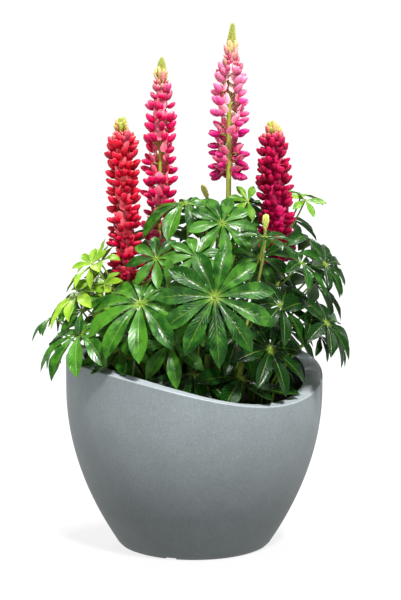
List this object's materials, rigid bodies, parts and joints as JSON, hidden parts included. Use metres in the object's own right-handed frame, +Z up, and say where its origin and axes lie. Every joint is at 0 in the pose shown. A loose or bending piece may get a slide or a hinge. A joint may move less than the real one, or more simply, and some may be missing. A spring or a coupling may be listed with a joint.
{
  "type": "potted lupin plant",
  "caption": "Garden lupin in flower, its red and pink flower spikes above hand-shaped leaves, rooted in a round grey pot whose rim dips in a wave.",
  "frame": {"origin": "centre of the pot's flat underside, on the surface that it stands on", "axes": "+Z up along the plant, -Y towards the front, where the low side of the rim's wave lies to the right, +X to the viewer's right"},
  "size_m": [0.4822, 0.4245, 0.802],
  "materials": {
    "pot_plastic": "matt, fine grained, cool grey",
    "potting_soil": "dark, crumbly, matt",
    "stem_green": "yellow-green, finely hairy",
    "bud_green": "yellow-green, silky hairs",
    "petal_red": "satin petal, coral red",
    "petal_coral": "satin petal, salmon to raspberry",
    "petal_pink": "satin petal, pale pink to magenta",
    "petal_crimson": "satin petal, crimson",
    "leaf_green": "waxy sheen, paler midrib",
    "leaf_young": "soft yellow-green"
  },
  "bodies": {
    "root": {"pot": "pot_plastic", "soil": "potting_soil", "spike_left_stem": "stem_green", "spike_left_flowers": "petal_red", "spike_left_tip": "bud_green", "spike_centre_left_stem": "stem_green", "spike_centre_left_flowers": "petal_coral", "spike_centre_left_tip": "bud_green", "spike_tall_stem": "stem_green", "spike_tall_flowers": "petal_pink", "spike_tall_tip": "bud_green", "spike_right_stem": "stem_green", "spike_right_flowers": "petal_crimson", "spike_right_tip": "bud_green", "young_spike_right": "bud_green", "young_spike_back": "bud_green", "leaf_01": "leaf_green", "leaf_02": "leaf_green", "leaf_03": "leaf_green", "leaf_04": "leaf_young", "leaf_05": "leaf_young", "leaf_06": "leaf_green", "leaf_07": "leaf_green", "leaf_08": "leaf_green", "leaf_09": "leaf_green", "leaf_10": "leaf_green", "leaf_11": "leaf_green", "leaf_12": "leaf_green", "leaf_13": "leaf_green", "leaf_14": "leaf_young", "leaf_15": "leaf_green", "leaf_16": "leaf_green", "leaf_17": "leaf_green", "leaf_18": "leaf_green", "leaf_19": "leaf_green", "leaf_20": "leaf_green", "leaf_21": "leaf_green", "leaf_22": "leaf_green", "leaf_23": "leaf_green", "leaf_24": "leaf_green", "leaf_25": "leaf_green", "leaf_26": "leaf_green", "leaf_27": "leaf_green", "leaf_28": "leaf_green", "leaf_29": "leaf_green", "leaf_30": "leaf_green", "leaf_31": "leaf_green", "leaf_32": "leaf_green", "leaf_33": "leaf_green", "leaf_34": "leaf_green", "leaf_35": "leaf_green", "leaf_36": "leaf_green", "leaf_37": "leaf_green", "leaf_38": "leaf_green", "leaf_39": "leaf_green", "leaf_40": "leaf_green", "leaf_41": "leaf_green", "leaf_42": "leaf_green"}
  },
  "joints": []
}
